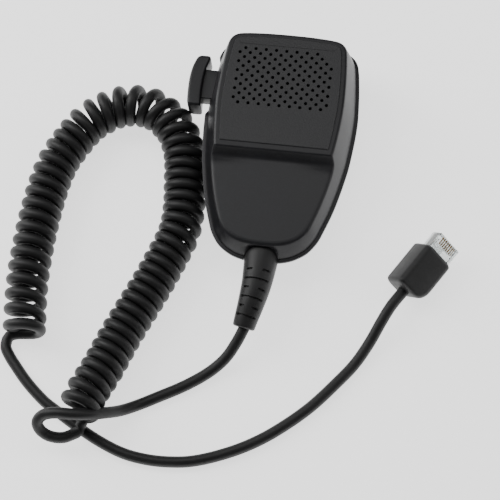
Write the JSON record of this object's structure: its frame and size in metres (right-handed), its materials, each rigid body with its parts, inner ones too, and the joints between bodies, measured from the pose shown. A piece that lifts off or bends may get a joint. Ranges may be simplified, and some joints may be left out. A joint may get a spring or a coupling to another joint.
{
  "type": "hand microphone",
  "caption": "Palm-held radio microphone with a perforated front, a side push-to-talk bar, a hang-up button, a curly cord and a clear modular plug.",
  "frame": {"origin": "centre of the flat face of the hang-up button on the back; the microphone lies on its back on the plane z = 0", "axes": "+Z out of the grille, +Y along the housing towards its top, +X to the right seen from the grille; the push-to-talk bar is on the -X side"},
  "size_m": [0.1804, 0.1825, 0.0293],
  "materials": {
    "housing_abs": "fine spark-textured black moulding",
    "ptt_abs": "satin black moulding",
    "nickel_plated_steel": "nickel plated",
    "spring_steel": "bright wire",
    "boot_rubber": "matte moulded rubber",
    "cord_polyurethane": "smooth matte jacket",
    "clear_polycarbonate": "clear, polished",
    "gold_contact": "gold plated",
    "contact_brass": "bare stamped sheet",
    "aluminium_can": "drawn can",
    "black_felt": "pressed felt",
    "board_laminate": "green solder mask",
    "component_plastic": "moulded component body",
    "wire_red": "insulation",
    "wire_white": "insulation",
    "wire_blue": "insulation",
    "wire_yellow": "insulation"
  },
  "bodies": {
    "microphone": {"front_housing": "housing_abs", "rear_housing": "housing_abs", "housing_screw_1": "nickel_plated_steel", "housing_screw_2": "nickel_plated_steel", "housing_screw_3": "nickel_plated_steel", "housing_screw_4": "nickel_plated_steel", "hang_button": "nickel_plated_steel", "cord_boot": "boot_rubber", "cord_tail_mic": "cord_polyurethane", "cord_coil": "cord_polyurethane", "cord_tail_plug": "cord_polyurethane", "plug_boot": "boot_rubber", "plug_body": "clear_polycarbonate", "plug_contact_1": "gold_contact", "plug_contact_2": "gold_contact", "plug_contact_3": "gold_contact", "plug_contact_4": "gold_contact", "plug_contact_5": "gold_contact", "plug_contact_6": "gold_contact", "plug_contact_7": "gold_contact", "plug_contact_8": "gold_contact", "ptt_spring": "spring_steel", "grille_cloth": "black_felt", "capsule_holder": "boot_rubber", "microphone_capsule": "aluminium_can", "circuit_board": "board_laminate", "board_screw_1": "nickel_plated_steel", "board_screw_2": "nickel_plated_steel", "ptt_switch": "component_plastic", "preamp_chip": "component_plastic", "output_capacitor": "aluminium_can", "gain_trimmer": "component_plastic", "cord_header": "component_plastic", "cord_clamp": "nickel_plated_steel", "clamp_screw": "nickel_plated_steel", "inner_cord": "cord_polyurethane", "cord_wire_1": "wire_red", "cord_wire_2": "wire_white", "cord_wire_3": "wire_blue", "cord_wire_4": "wire_yellow", "hang_button_screw": "nickel_plated_steel", "hang_contact_plate": "contact_brass"},
    "ptt": {"ptt_button": "ptt_abs", "ptt_switch_plunger": "component_plastic"},
    "latch": {"plug_latch": "clear_polycarbonate"}
  },
  "joints": [
    {"name": "ptt_press", "type": "slide", "parent": "microphone", "child": "ptt", "axis": [1, 0, 0], "range_m": [0, 0.0025], "stiffness_N_per_m": 1000, "springref_m": -0.001, "deforming": ["ptt_spring"]},
    {"name": "latch_flex", "type": "hinge", "parent": "microphone", "child": "latch", "pos_m": [0.06764, -0.0295, 0.00686], "axis": [-0.6546, 0.398, 0.6428], "range_deg": [0, 8], "stiffness_Nm_per_rad": 0.2, "springref_deg": -2.86}
  ]
}
